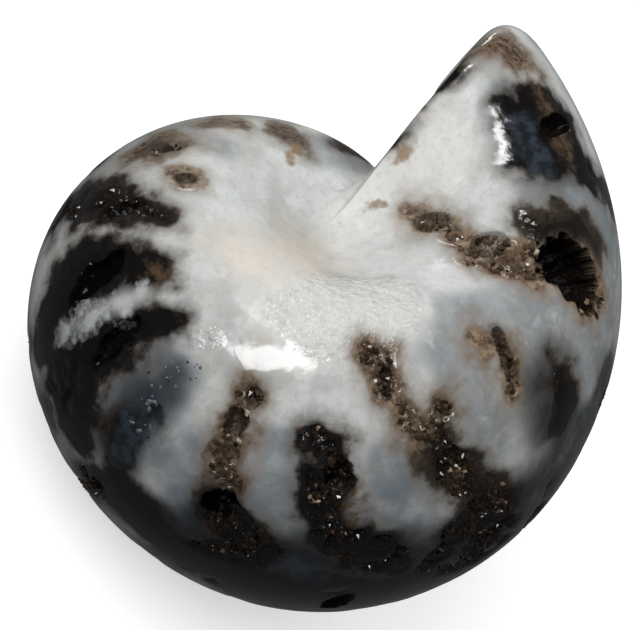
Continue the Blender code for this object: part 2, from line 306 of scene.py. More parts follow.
golds = dict(
    tailA=((0.143, 0.24, 0.6), (0.165, 0.19, 0.4)),
    spotM=((0.974, 0.12, 0.8), (0.967, 0.13, 1.0)),
    glintN=((0.924, 0.07, 0.4), (0.902, 0.09, 0.4)),
    creaseO=((0.975, 0.025, 0.1), (0.93, 0.037, 0.2)),
)

# How a soft marking fades: its strokes, how far the wide and the middling noise fray it, how wide its
# fade is, all in mm, and its strength on the edge of a stroke
softMarks = dict(
    murkAndShade=(murksAndShade, 2.0, 0.0, 6.0, 0.62),
    grey=(greys, 2.0, 0.0, 5.0, 0.5),
    white=(whites, 1.6, 0.0, 4.0, 0.5),
    worn=(worns, 0.0, 0.0, 3.0, 0.5),
    veil=(veils, 1.6, 0.0, 4.0, 0.6),
    peach=(peaches, 2.0, 0.0, 8.0, 0.5),
    frost=(frosts, 0.0, 0.0, 2.0, 0.5),
    blue=(blues, 0.0, 1.2, 2.0, 0.5),
)
sharpMarks = dict(streak=streaks, gold=golds, brown=browns)  # kept as a depth in mm
painted = ("filling", "black", "grain", "hole", *softMarks, *sharpMarks)

# Chambers round the whole turn, for the sides that the photograph doesn't show
chambers = dict(
    turns=(0.02, 0.06, 0.1, 0.15, 0.2, 0.24, 0.285, 0.335, 0.4, 0.45, 0.5, 0.56, 0.62, 0.69,
           0.745, 0.8, 0.885, 0.955),
    seenTo=((0.0, 0.7), (0.28, 0.78), (0.34, 1.12), (0.7, 1.12), (0.74, 0.86), (0.8, 0.72), (0.88, 0.66),
            (1.0, 0.6)),  # turn, and the crown where a filling's unseen part begins
    farCrown=1.66,
    lastRoom=0.06,  # turns from the last filling to the rim
    nearStray=0.04,  # how far the ends stray
    farStray=0.22,
    turnStray=0.003,
    leastPoints=4,
    pointsPerCrown=6,
    sweep=0.02,  # how far a filling's middle lies behind its ends, in turns
    upperSweep=0.5,  # the share of that on the upper flank
    taper=(0.15, 0.7),  # start and length of the stretch of half a wave that the width follows
    swell=(0.45, 1.1),
    halfShare=0.3,  # half a filling's width as a share of its chamber's length
    narrowing=0.55,  # how much of that is lost at the umbilicus
    black=(0.2, 1.0),
    openness=(0.0, 0.8),
    seed=17,
)

septum = dict(
    stains=(7.0, 21.0),  # size of the noise's lumps in mm, and its shift
    fray=(1.8, 5.0),
    clouds=(9.0, 2.0),
    stainHeight=5.0,
    stainLevel=0.42,  # the higher, the fewer stains
    cloudContrast=1.6,
    outside=-9.0,
    black=0.2,
    worn=0.5,
    grey=0.4,
    veil=0.6,
    peach=0.3,
)


def smoothStep(share):
    share = np.clip(share, 0.0, 1.0)
    return share * share * (3 - 2 * share)


def curveThrough(values, share):
    heights = np.array(values)
    place = np.clip(share, 0.0, 1.0) * (len(heights) - 1)
    index = np.minimum(place.astype(int), len(heights) - 2)
    before = heights[np.maximum(index - 1, 0)]
    low, high = heights[index], heights[index + 1]
    after = heights[np.minimum(index + 2, len(heights) - 1)]
    t = place - index
    bend = 2 * before - 5 * low + 4 * high - after + t * (3 * (low - high) + after - before)
    return low + 0.5 * t * (high - before + t * bend)


def venterRadius(turn):
    swell = np.exp(curveThrough(coil["radiusSwell"], turn))
    return coil["rimRadius"] * coil["expansion"] ** (turn - 1) * swell


def halfWidth(turn):
    swell = np.exp(curveThrough(coil["widthSwell"], turn))
    return coil["halfWidthRatio"] * venterRadius(turn) * swell


meanRadius = coil["rimRadius"] * coil["expansion"] ** -0.5
meanHalfWidth = float(halfWidth(np.arange(13) / 12).mean())


def shellPoints(turn, crown, inset=0.0):
    # places on the shell about its coil axis, as rows of x, y and z
    turn, crown = np.atleast_1d(turn).astype(float), np.atleast_1d(crown).astype(float)
    share = 1 - abs(1 - crown)
    inDip = share < coil["umbilicusShare"]
    slope = np.minimum(share / coil["umbilicusShare"], 1.0)
    flank = np.clip((share - coil["umbilicusShare"]) / (1 - coil["umbilicusShare"]), 0.0, 1.0)
    angle = flank * math.pi / 2
    power = 2 / coil["crownPower"]
    widest = coil["shoulderReach"]
    reach = np.where(inDip, widest * slope, widest + (1 - widest) * np.sin(angle) ** power)
    dip = 1 - coil["umbilicusDip"] * (1 - slope**2) ** 2
    rise = np.where(inDip, dip, np.maximum(np.cos(angle), 0.0) ** power)
    clear = smoothStep(slope)
    radius = meanRadius + (venterRadius(turn) - meanRadius) * clear
    axisWidth = coil["umbilicusWidth"] * meanHalfWidth
    width = axisWidth + (halfWidth(turn) - axisWidth) * clear
    shrink = 1 - inset * clear / radius
    bow = coil["rimBow"] * np.sin(math.pi * flank) ** 2
    ahead = smoothStep((turn - coil["bowStart"]) / (1 - coil["bowStart"]))
    azimuth = 2 * math.pi * (turn + bow * ahead)
    distance = radius * reach * shrink
    side = np.where(crown <= 1, 1, -1)
    return np.stack(
        [distance * np.cos(azimuth), distance * np.sin(azimuth), side * width * rise * shrink], axis=1
    )


def strokeDepth(places, stroke):
    # how deep each place lies in a stroke, in mm, and below 0 outside it
    points = np.array(stroke)
    steps = np.linspace(0, len(points) - 1, drawing["stepsPerSpan"] * (len(points) - 1) + 1)
    index = np.arange(len(points))
    turns, crowns, halves = (np.interp(steps, index, points[:, column]) for column in range(3))
    line = shellPoints(turns, crowns) * 1000
    margin = halves.max() + drawing["marginMm"]
    near = np.all((places > line.min(axis=0) - margin) & (places < line.max(axis=0) + margin), axis=1)
    depth = np.full(len(places), drawing["outside"])
    close = places[near]
    best = np.full(len(close), drawing["outside"])
    for start, end, low, high in zip(line, line[1:], halves, halves[1:]):
        along = end - start
        off = close - start
        share = np.clip((off @ along) / max(along @ along, 1e-9), 0, 1)
        off = np.linalg.norm(off - share[:, None] * along, axis=1)
        best = np.maximum(best, low + (high - low) * share - off)
    depth[near] = best
    return depth


def deepest(places, strokes):
    return np.max([strokeDepth(places, stroke) for stroke in strokes.values()], axis=0)


def hiddenFillings():
    # one filling for each chamber on the lower flank, with widths and gaps of its own
    draw = random.Random(chambers["seed"])
    made = {}
    turns = chambers["turns"]
    for number, turn in enumerate(turns):
        room = chambers["lastRoom"] if number + 1 == len(turns) else turns[number + 1] - turn
        reach = float(venterRadius(np.array(turn))) * 1000 * 2 * math.pi * room
        near = float(np.interp(turn, *zip(*chambers["seenTo"])))
        near += draw.uniform(-chambers["nearStray"], chambers["nearStray"])
        far = chambers["farCrown"] - draw.uniform(0.0, chambers["farStray"])
        count = chambers["leastPoints"] + round(chambers["pointsPerCrown"] * (far - near))
        path = []
        for step in range(count):
            share = step / (count - 1)
            crown = near + (far - near) * share
            wave = math.sin(math.pi * (chambers["taper"][0] + chambers["taper"][1] * share))
            half = chambers["halfShare"] * reach * wave * draw.uniform(*chambers["swell"])
            half *= 1 - chambers["narrowing"] * abs(crown - 1)
            behind = chambers["sweep"] * math.sin(math.pi * (crown % 1.0))
            behind *= 1 if crown > 1 else chambers["upperSweep"]
            stray = draw.uniform(-chambers["turnStray"], chambers["turnStray"])
            path.append((turn - behind + stray, crown, half))
        looks = draw.uniform(*chambers["black"]), draw.uniform(*chambers["openness"])
        made[f"unseen{number:02d}"] = (*looks, *path)
    return made


allFillings = {**fillings, **hiddenFillings()}


def directionsAt(turn, crown):
    # a place on the shell, and there the ways over the crown, round the coil and out of the surface
    step = 0.002
    outwards = shellPoints(turn, crown + step)[0] - shellPoints(turn, crown - step)[0]
    outwards /= np.linalg.norm(outwards)
    along = shellPoints(turn + step, crown)[0] - shellPoints(turn - step, crown)[0]
    away = np.cross(outwards, along)
    away /= np.linalg.norm(away)
    return shellPoints(turn, crown)[0], outwards, np.cross(away, outwards), away


def pitMarks(places):
    # how deep each place lies in the open pits and how far inside their edges, both in mm,
    # and the painted shade in the pit there, from 0 to 1, darker the deeper the pit
    total, dark = np.zeros(len(places)), np.zeros(len(places))
    inside = np.full(len(places), pitLooks["outside"])
    for number, (pitTurn, pitCrown, length, width, depth, slant) in enumerate(pits):
        centre, outwards, along = directionsAt(pitTurn, pitCrown)[:3]
        off = places - centre * 1000
        near = np.where(np.linalg.norm(off, axis=1) < length + pitLooks["marginMm"])[0]
        if not len(near):
            continue
        lean = math.radians(slant)
        long = outwards * math.cos(lean) + along * math.sin(lean)
        across = along * math.cos(lean) - outwards * math.sin(lean)
        spread = np.hypot(off[near] @ long / (length / 2), off[near] @ across / (width / 2))
        lumps = unevenness(places[near], pitLooks["lumpsMm"], number * pitLooks["shift"])
        spread = spread * (1 + pitLooks["stray"] * lumps)
        bowl = np.sqrt(np.clip(1 - spread**2, 0, 1)) ** pitLooks["bowl"]
        total[near] = np.maximum(total[near], depth * bowl)
        within = (1 - spread) * width / 2
        inside[near] = np.maximum(inside[near], within)
        shade = smoothStep((within + pitLooks["shadeMm"]) / pitLooks["shadeFadeMm"])
        shade = shade * min(pitLooks["shadeLeast"] + depth / pitLooks["blackMm"], 1)
        dark[near] = np.maximum(dark[near], shade)
    return total, inside, dark


def unevenness(places, size, offset):
    # soft noise from -1 to 1 with lumps of this size in mm
    shift = Vector((offset, 0, 0))
    return np.array([noise.noise(Vector(place) / size + shift) for place in places])


def markingsAt(turn, crown):
    # every marking's strength at the given places on the shell
    looks = fillingLooks
    places = shellPoints(turn, crown) * 1000
    wide, middling = unevenness(places, *looks["wide"]), unevenness(places, *looks["middling"])
    depth = np.full(len(places), drawing["outside"])
    weights = np.full(len(places), 1e-9)
    black, openness = np.zeros(len(places)), np.zeros(len(places))
    for blackness, openShare, *stroke in allFillings.values():
        own = strokeDepth(places, stroke)
        depth = np.maximum(depth, own)
        weight = np.exp(np.clip(own, *looks["clipMm"]) * looks["takeOver"])
        weights += weight
        black += weight * blackness
        openness += weight * openShare
    openness = openness / weights
    outer = looks["edgeBlack"] * smoothStep((1 - abs(1 - crown) - looks["edgeCrown"]) / looks["edgeFade"])
    depth = depth + looks["wideMm"] * wide + looks["middlingMm"] * middling
    perOpenness, atNone, perWide, perMiddling = looks["cover"]
    cover = smoothStep(openness * perOpenness + atNone + perWide * wide + perMiddling * middling)
    grain = smoothStep((depth - looks["grainFromMm"]) / looks["grainFadeMm"]) * cover
    pit, pitInside, hole = pitMarks(places)
    perOpenness, atNone = looks["pitCover"]
    inPit = smoothStep(pit / looks["pitGrainMm"]) * smoothStep(openness * perOpenness + atNone)
    marks = dict(filling=depth, black=np.clip(black / weights + outer, 0, 1), hole=hole,
                 grain=np.maximum(grain, inPit), pit=pit, pitInside=pitInside)
    for name, (strokes, wideMm, middlingMm, fadeMm, atEdge) in softMarks.items():
        own = deepest(places, strokes) + wideMm * wide + middlingMm * middling
        marks[name] = smoothStep(own / fadeMm + atEdge)
    for name, strokes in sharpMarks.items():
        marks[name] = deepest(places, strokes)
    return marks


def roundRim(columnShare, crown):
    # the turn and the inset at a share of the way round; the last columns round off the rim
    last = 1 - body["rimColumns"] / body["columns"]
    outer = smoothStep((1 - abs(1 - crown) - coil["roundingStart"]) / coil["roundingSpread"])
    rounding = coil["shoulderRounding"] + (coil["rimRounding"] - coil["shoulderRounding"]) * outer
    roundingTurn = rounding / (2 * math.pi * coil["rimRadius"])
    bend = np.clip((columnShare - last) / (1 - last), 0, 1) * math.pi / 2
    before = columnShare <= last
    turn = np.where(before, (1 - roundingTurn) * columnShare / last, 1 - roundingTurn * (1 - np.sin(bend)))
    return turn, np.where(before, 0.0, rounding * (1 - np.cos(bend)))


def azimuthShare(place):
    return math.atan2(place.y, place.x) / (2 * math.pi) % 1.0


def onSeam(place):
    return abs(place.y) < 1e-6 and place.x > 0


def crownOf(place):
    return math.acos(min(max(place.z / place.length, -1.0), 1.0)) / math.pi * 2


def openSeam(ball):
    openCrown = (body["openRow"] - 0.5) * 2 / body["rows"]
    seam = [
        edge
        for edge in ball.edges
        if all(onSeam(v.co) and openCrown < crownOf(v.co) < 2 - openCrown for v in edge.verts)
    ]
    bmesh.ops.split_edges(ball, edges=seam)


def nearMarkings(marks, crowns):
    near = finer["fillingMm"] * (crowns < finer["fillingCrown"])
    nearPit, nearStreak = marks["pitInside"] > -finer["pitMm"], marks["streak"] > -finer["streakMm"]
    return (marks["filling"] > -near) | nearPit | nearStreak


def inPitsAndGrains(marks, crowns):
    grainy = (marks["grain"] > finer["leastGrain"]) & (crowns < finer["grainCrown"])
    return (marks["pitInside"] > -finer["pitAgainMm"]) | grainy


def refine(ball, wanted):
    # halves the edges of the faces where wanted says so, away from the seam and the poles
    centres = [face.calc_center_median() for face in ball.faces]
    shares = np.array([azimuthShare(place) for place in centres])
    crowns = np.array([crownOf(place) for place in centres])
    clear = (shares > finer["seamClear"]) & (shares < 1 - finer["seamClear"])
    clear = clear & (crowns > finer["poleClear"]) & (crowns < 2 - finer["poleClear"])
    chosen = wanted(markingsAt(roundRim(shares, crowns)[0], crowns), crowns) & clear
    faces = [face for face, keep in zip(ball.faces, chosen) if keep]
    edges = list(dict.fromkeys(edge for face in faces for edge in face.edges))
    bmesh.ops.subdivide_edges(ball, edges=edges, cuts=1, use_grid_fill=True)


def formWhorl(ball):
    # moves each point of the ball to its place, and keeps its turn and crown
    turnLayer = ball.verts.layers.float.new("turn")
    crownLayer = ball.verts.layers.float.new("crown")
    openCrown = (body["openRow"] - 0.5) * 2 / body["rows"]
    verts = list(ball.verts)
    crowns = np.array([crownOf(v.co) for v in verts])
    shares = np.array([azimuthShare(v.co) for v in verts])
    start, rim = {}, {}
    for index, vert in enumerate(verts):
        if not onSeam(vert.co):
            continue
        ahead = sum(1 for face in vert.link_faces if face.calc_center_median().y > 0)
        row = round(crowns[index] * body["rows"] / 2)
        if 0 < ahead < len(vert.link_faces):
            start[row] = rim[row] = vert
            shares[index] = 0.0
            continue
        shares[index] = 0.0 if ahead else 1.0
        (start if ahead else rim)[row] = vert
    turns, insets = roundRim(shares, crowns)
    places = shellPoints(turns, crowns, insets)
    # the fold between the two ends of the turn, near the axis
    axisShare = 1 - abs(1 - crowns)
    signed = np.where(shares > 0.5, shares - 1, shares)
    fold = body["foldTurn"] * np.clip(1 - axisShare / openCrown, 0, 1)
    fold = fold + body["foldColumns"] / body["columns"]
    folded = (axisShare < openCrown) & (abs(signed) < fold)
    rounded = coil["shoulderRounding"]
    ahead, inset = np.where(signed < 0, turns, 1 + signed), np.where(signed < 0, insets, rounded)
    behind = shellPoints(ahead, crowns, inset)
    before = shellPoints(signed, crowns)
    mixed = smoothStep((signed / fold + 1) / 2)[:, None]
    places = np.where(folded[:, None], behind + (before - behind) * mixed, places)
    for vert, place, turn, crown in zip(verts, places, turns, crowns):
        vert.co = place
        vert[turnLayer] = turn
        vert[crownLayer] = crown
    return start, rim


def nearestSpan(place, spans):
    best = None
    for low, high in spans:
        along = high - low
        share = (place - low).dot(along) / along.length_squared
        off = (low + along * share - place).length
        if best is None or off < best[0]:
            best = (off, along.length, share)
    return best[1], best[2]


def closeRim(ball, start, rim):
    # bridges the start of the turn and the rim, and hollows the bridge as the last septum
    rows = sorted(row for row in start if start[row] is not rim[row])
    for row in range(rows[0] - 1, rows[-1] + 1):
        corners = [start[row], start[row + 1], rim[row + 1], rim[row]]
        ball.faces.new(list(dict.fromkeys(corners)))
    rungs = [ball.edges.get((start[row], rim[row])) for row in rows]
    spans = [(start[row].co.copy(), rim[row].co.copy()) for row in rows]
    longest = max((high - low).length for low, high in spans)
    septum = ball.verts.layers.float.new("septum")
    cut = bmesh.ops.subdivide_edges(ball, edges=rungs, cuts=body["septumCuts"], use_grid_fill=True)
    for vert in cut["geom_inner"]:
        if isinstance(vert, bmesh.types.BMVert):
            length, share = nearestSpan(vert.co, spans)
            hollow = (length / longest) ** 2 * math.sqrt(max(math.sin(math.pi * share), 0))
            vert.co.y -= coil["septumDepth"] * hollow
            vert[septum] = 1.0


def lying():
    towards = math.radians(coil["restTowards"])
    leanAxis = Vector((-math.sin(towards), math.cos(towards), 0))
    lean = Matrix.Rotation(math.radians(coil["restLean"]), 4, leanAxis)
    return Matrix.Rotation(math.radians(coil["facing"]), 4, "Z") @ lean


def grindFlat(ball):
    level = min(vert.co.z for vert in ball.verts) + coil["flatDepth"]
    cut = bmesh.ops.bisect_plane(
        ball,
        geom=ball.verts[:] + ball.edges[:] + ball.faces[:],
        plane_co=(0, 0, level),
        plane_no=(0, 0, -1),
        clear_outer=True,
    )
    edges = [item for item in cut["geom_cut"] if isinstance(item, bmesh.types.BMEdge)]
    bmesh.ops.contextual_create(ball, geom=edges)


def placeShell(ball):
    # turns the shell as it lies, and sets its box on the CAD part's
    bmesh.ops.transform(ball, matrix=lying(), verts=ball.verts)
    grindFlat(ball)
    places = np.array([vert.co for vert in ball.verts])
    low, high = places.min(axis=0), places.max(axis=0)
    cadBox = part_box("ammonite")
    middle = (cadBox[0] + cadBox[1]) / 2
    own = (low + high) / 2
    move = Vector((middle.x - own[0], middle.y - own[1], cadBox[0].z - low[2]))
    bmesh.ops.translate(ball, vec=move, verts=ball.verts)
    return Matrix.Translation(move) @ lying()


def stainSeptum(ball, marks):
    # the last septum is cloudy stone with a few brown stains of its own
    places = np.array([vert.co for vert in ball.verts]) * 1000
    on = marks["septum"] > 0.5
    stains = septum["stainHeight"] * (unevenness(places, *septum["stains"]) - septum["stainLevel"])
    cloudy = smoothStep(0.5 + septum["cloudContrast"] * unevenness(places, *septum["clouds"]))
    own = {name: 0.0 for name in painted} | {name: septum["outside"] for name in sharpMarks}
    own["filling"] = stains + unevenness(places, *septum["fray"])
    own |= {name: septum[name] for name in ("black", "worn")}
    own |= {name: septum[name] * cloudy for name in ("grey", "peach")}
    own["veil"] = septum["veil"] * (1 - cloudy)
    for name, value in own.items():
        marks[name] = np.where(on, value, marks[name])


def carve(ball, marks):
    # lets the open pits, the grains and the polished fillings into the surface
    places = [vert.co.copy() for vert in ball.verts]
    spacing = carving["granuleMm"] / 1000
    lumps = np.zeros(len(places))
    for index in np.where(marks["grain"] > carving["faintest"])[0]:
        place = places[index] / spacing
        nearest = noise.voronoi(place)[0]
        lumps[index] = min(nearest[0] * carving["steepness"], 1.0)
        lumps[index] += carving["swell"] * noise.noise(place * carving["swellFineness"])
    dip = smoothStep(marks["filling"] / carving["dipFadeMm"] + carving["dipAtEdge"]) * carving["dipMm"]
    down = marks["pit"] + marks["grain"] * lumps * carving["reliefMm"] + dip
    down = np.where(marks["septum"] > 0.5, 0.0, down) / 1000
    ball.normal_update()
    normals = [vert.normal.copy() for vert in ball.verts]
    for vert, normal, depth in zip(ball.verts, normals, down):
        if depth > 0 and vert.co.z > cadLow.z + carving["leastHeight"]:
            vert.co -= normal * float(depth)
    marks["hollow"] = down * 1000


def addPiece(name, ball):
    # makes a finished bmesh an object of the scene
    mesh = bpy.data.meshes.new(name)
    ball.to_mesh(mesh)
    ball.free()
    thing = bpy.data.objects.new(name, mesh)
    bpy.context.scene.collection.objects.link(thing)
    print(f"{name}: {sum(len(face.vertices) - 2 for face in mesh.polygons)} triangles")
    return thing


def makeBody():
    ball = bmesh.new()
    bmesh.ops.create_uvsphere(ball, u_segments=body["columns"], v_segments=body["rows"], radius=1.0)
    openSeam(ball)
    refine(ball, nearMarkings)
    refine(ball, inPitsAndGrains)
    start, rim = formWhorl(ball)
    closeRim(ball, start, rim)
    bmesh.ops.recalc_face_normals(ball, faces=ball.faces)
    toWorld = placeShell(ball)
    layers = ball.verts.layers.float
    turns = np.array([vert[layers["turn"]] for vert in ball.verts])
    crowns = np.array([vert[layers["crown"]] for vert in ball.verts])
    marks = markingsAt(turns, crowns)
    marks["turn"], marks["crown"] = turns, crowns
    marks["septum"] = np.array([vert[layers["septum"]] for vert in ball.verts])
    stainSeptum(ball, marks)
    carve(ball, marks)
    thing = addPiece("polishedShell", ball)
    for name in painted:
        layer = thing.data.attributes.new(name, "FLOAT", "POINT")
        layer.data.foreach_set("value", np.asarray(marks[name], dtype=np.float32))
    thing.data.shade_smooth()
    thing.data.set_sharp_from_angle(angle=math.radians(body["creaseAngle"]))
    return thing, toWorld, marks


def linear(hexColour):
    # an sRGB hex colour as linear RGBA
    parts = [int(hexColour[i : i + 2], 16) / 255 for i in (1, 3, 5)]
    return (*[c / 12.92 if c <= 0.04045 else ((c + 0.055) / 1.055) ** 2.4 for c in parts], 1.0)


def addNode(tree, kind, inputs=None, **settings):
    node = tree.nodes.new("ShaderNode" + kind)
    for name, value in settings.items():
        setattr(node, name, value)
    for key, value in (inputs or {}).items():
        if isinstance(value, bpy.types.NodeSocket):
            tree.links.new(value, node.inputs[key])
        else:
            node.inputs[key].default_value = value
    return node


def blankMaterial(name):
    material = bpy.data.materials.new(name)
    material.use_nodes = True
    material.node_tree.nodes.clear()
    return material, material.node_tree


def perMm(size):
    # the scale of a pattern on Object coordinates whose features are this many mm apart
    return 1000 / size


quartzIndex = 1.54  # how strongly quartz and chalcedony bend light

stone = dict(
    patterns=dict(  # size of the features in mm, detail, roughness and distortion
        cloud=(9.0, 4.0, 0.6, 0.4),
        mottle=(2.4, 4.0, 0.6, 0.3),
        ripple=(1.3, 4.0, 0.55, 0.0),
        fleck=(1.0, 4.0, 0.6, 0.0),
        sparkle=(0.6, 2.0, 0.55, 0.0),  # the real grains are finer than a pixel
        speck=(0.55, 2.0, 0.55, 0.0),
    ),
    frayed=dict(  # a marking, and how far the patterns fray its edge in mm
        edge=("filling", ("mottle", 2.4), ("fleck", 1.6)),
        pale=("streak", ("mottle", 3.0), ("fleck", 3.4)),
        golden=("gold", ("fleck", 2.0)),
        rusty=("brown", ("fleck", 3.0)),
    ),
    base="#b2b3b0",
    # each colour over the ones before it, as strong as the product of the ranges beside it:
    # a value, its low and high end, and the strengths there
    layers=(
        ("#cfd1cf", ("cloud", 0.36, 0.64, 0.0, 1.0)),
        # grey stone, and on the right flank partly painted shade
        ("#7b8285", ("grey", 0.0, 1.0, 0.0, 1.0), ("mottle", 0.25, 0.75, 0.6, 1.0)),
        ("#d8d7d3", ("white", 0.0, 1.0, 0.0, 1.0), ("mottle", 0.25, 0.75, 0.5, 1.0)),
        ("#c9bba8", ("ripple", 0.48, 0.66, 0.0, 0.3), ("cloud", 0.40, 0.60, 1.0, 0.0)),
        ("#e6e7e6", ("mottle", 0.50, 0.72, 0.0, 0.4)),
        ("#9b9c9a", ("speck", 0.50, 0.70, 0.0, 0.22)),
        ("#717b83", ("veil", 0.0, 1.0, 0.0, 1.0), ("mottle", 0.30, 0.72, 0.90, 0.50)),
        ("#d8c9b6", ("peach", 0.0, 1.0, 0.0, 1.0), ("mottle", 0.30, 0.70, 0.30, 0.60)),
        # smoke round the fillings, brown round the open ones
        ("#857666", ("edge", -2.4, 0.3, 0.0, 0.7)),
        ("#565b60", ("edge", -2.4, 0.3, 0.0, 0.7), ("black", 0.0, 1.0, 0.0, 1.0)),
        # dark smoky stone, and painted shade along the lower outer edge
        ("#23272c", ("murkAndShade", 0.0, 1.0, 0.0, 1.0), ("mottle", 0.30, 0.75, 1.0, 0.85)),
        # smoky quartz, mottled, then the black clay
        ("#6b5947", ("edge", -0.55, 0.65, 0.0, 1.0)),
        ("#94826d", ("edge", -0.35, 0.45, 0.0, 1.0), ("fleck", 0.44, 0.60, 0.0, 0.9)),
        ("#3a2c20", ("edge", -0.1, 0.6, 0.0, 1.0), ("speck", 0.50, 0.62, 0.0, 0.7)),
        ("#0d0b0b", ("edge", -0.8, 0.35, 0.0, 1.0), ("black", 0.0, 0.8, 0.0, 1.0)),
        ("#25201d", ("edge", -0.35, 0.45, 0.0, 1.0), ("black", 0.0, 0.8, 0.0, 1.0),
         ("fleck", 0.48, 0.70, 0.0, 0.8)),
        ("#33271c", ("edge", 0.7, 2.2, 0.0, 0.85), ("mottle", 0.35, 0.60, 1.0, 0.3)),
        ("#050405", ("edge", 0.5, 1.8, 0.0, 0.9), ("black", 0.0, 0.8, 0.0, 1.0)),
        ("#5a4836", ("rusty", -1.2, 1.2, 0.0, 0.9), ("fleck", 0.36, 0.60, 0.25, 1.0)),
        ("#38424b", ("blue", 0.0, 1.0, 0.0, 0.75), ("fleck", 0.40, 0.62, 0.3, 1.0)),
        # painted shade in the pits, black in the deep ones
        ("#040303", ("hole", 0.0, 1.0, 0.0, 0.98)),
        ("#c4c7c6", ("pale", -1.0, 0.8, 0.0, 0.85), ("mottle", 0.30, 0.60, 0.5, 1.0)),
        ("#866a48", ("golden", -0.3, 0.4, 0.0, 0.85)),
    ),
    polish=0.08,
    bumpStrength=0.6,
    bumpDepth=0.00006,
    seeThrough=0.25,  # how much of the light goes in, how far and of which colour
    lightReach=0.0012,
    lightColour=(1.0, 0.9, 0.8),
    dullness=(  # roughness over the polish's
        (("frost", 0.0, 1.0, 0.0, -0.40), ("mottle", 0.40, 0.60, 0.5, 1.0)),
        (("grain", 0.0, 1.0, 0.0, 0.16),),
        (("mottle", 0.4, 0.7, 0.0, 0.05),),
        (("worn", 0.0, 1.0, 0.0, 0.40),),
        (("hole", 0.0, 1.0, 0.0, 0.10),),
    ),
    sheen=(("hole", 0.0, 1.0, 0.5, 0.06),),  # little light comes back out of a deep hole
    relief=(
        (("ripple", 0.0, 1.0, 0.0, 0.5),),
        (("frost", 0.0, 1.0, 0.0, 6.0), ("sparkle", 0.2, 0.8, 0.0, 1.0), ("mottle", 0.40, 0.60, 0.4, 1.0)),
        (("frost", 0.0, 1.0, 0.0, 5.0), ("ripple", 0.2, 0.8, 0.0, 1.0)),
        (("grain", 0.0, 1.0, 0.0, 2.6), ("speck", 0.2, 0.8, 0.0, 1.0)),
        (("edge", -0.3, 0.6, 0.0, 0.25), ("fleck", 0.2, 0.8, 0.0, 1.0)),
    ),
)


def strengthOf(tree, values, ranges):
    # the product of several ranges, each a value's name, its two ends and the strengths there
    product = None
    for name, low, high, atLow, atHigh in ranges:
        inputs = {"Value": values[name], "From Min": low, "From Max": high, "To Min": atLow, "To Max": atHigh}
        strength = addNode(tree, "MapRange", inputs, interpolation_type="SMOOTHSTEP").outputs[0]
        if product is not None:
            inputs = {0: product, 1: strength}
            strength = addNode(tree, "Math", inputs, operation="MULTIPLY").outputs[0]
        product = strength
    return product


def polishedChalcedony():
    # Chalcedony, tumbled and polished: a wet-looking gloss over cloudy, slightly see-through stone,
    # with quartz and clay in the old chambers that run from smoky brown to black
    material, tree = blankMaterial("polishedChalcedony")
    where = addNode(tree, "TexCoord").outputs["Object"]
    values = {}
    for name in painted:
        values[name] = addNode(tree, "Attribute", attribute_name=name).outputs["Fac"]
    for name, (size, detail, rough, warp) in stone["patterns"].items():
        inputs = {"Vector": where, "Scale": perMm(size), "Detail": detail}
        inputs |= {"Roughness": rough, "Distortion": warp}
        values[name] = addNode(tree, "TexNoise", inputs).outputs["Fac"]
    for name, (marking, *parts) in stone["frayed"].items():
        depth = values[marking]
        for pattern, reach in parts:
            inputs = {0: values[pattern], 1: 0.5}
            centred = addNode(tree, "Math", inputs, operation="SUBTRACT").outputs[0]
            inputs = {0: centred, 1: reach, 2: depth}
            depth = addNode(tree, "Math", inputs, operation="MULTIPLY_ADD").outputs[0]
        values[name] = depth
    colour = linear(stone["base"])
    for shade, *ranges in stone["layers"]:
        inputs = {0: strengthOf(tree, values, ranges), 6: colour, 7: linear(shade)}
        colour = addNode(tree, "Mix", inputs, data_type="RGBA").outputs[2]
    sums = {}
    for name, start in (("dullness", stone["polish"]), ("relief", 0.0)):
        sums[name] = start
        for ranges in stone[name]:
            inputs = {0: sums[name], 1: strengthOf(tree, values, ranges)}
            sums[name] = addNode(tree, "Math", inputs, operation="ADD").outputs[0]
    bump = addNode(tree, "Bump", {
        "Strength": stone["bumpStrength"], "Distance": stone["bumpDepth"], "Height": sums["relief"],
    })
    shader = addNode(tree, "BsdfPrincipled", {
        "Base Color": colour, "Roughness": sums["dullness"], "IOR": quartzIndex, "Normal": bump.outputs[0],
        "Specular IOR Level": strengthOf(tree, values, stone["sheen"]),
        "Subsurface Weight": stone["seeThrough"], "Subsurface Radius": stone["lightColour"],
        "Subsurface Scale": stone["lightReach"],
    })
    addNode(tree, "OutputMaterial", {"Surface": shader.outputs[0]})
    return material


druse = dict(
    count=2600,
    radiusMm=(0.08, 0.34),
    lengthMm=(0.25, 1.0),
    smallness=2,  # the higher, the more of the crystals are small
    taper=0.92,  # the shaft's width at its top, and the share of the length below the point
    shaft=0.6,
    patchMm=1.5,  # the crystals stand in patches of this size
    patchLevel=0.25,
    betweenPatches=0.1,
    leastGrain=0.45,
    barePitMm=0.9,  # from this depth on, and from this shade on, a pit bears no crystals
    bareShade=0.84,
    bareFade=0.2,
    overMm=0.05,  # how far a crystal may stand over the polished surface
    outShare=0.6,  # the most of its length that stands free
    lean=0.75,  # how far a point leans from straight out, as a share of its length
    leastRise=0.15,
    tone=0.42,
    toneOfPatch=0.5,
    toneStray=0.15,
    toneOfBlack=-0.8,
    # painted glints: a few crystals get a lighter tone
    paintedGlints=(0.03, 0.5),  # the share of the crystals that flash, and how much lighter they are
    darkest="#090706",
    between=((0.30, "#2a1f16"), (0.60, "#5d4a39"), (0.85, "#8d7862")),
    lightest="#c4b8a6",
    roughness=0.08,
    seed=5,
)


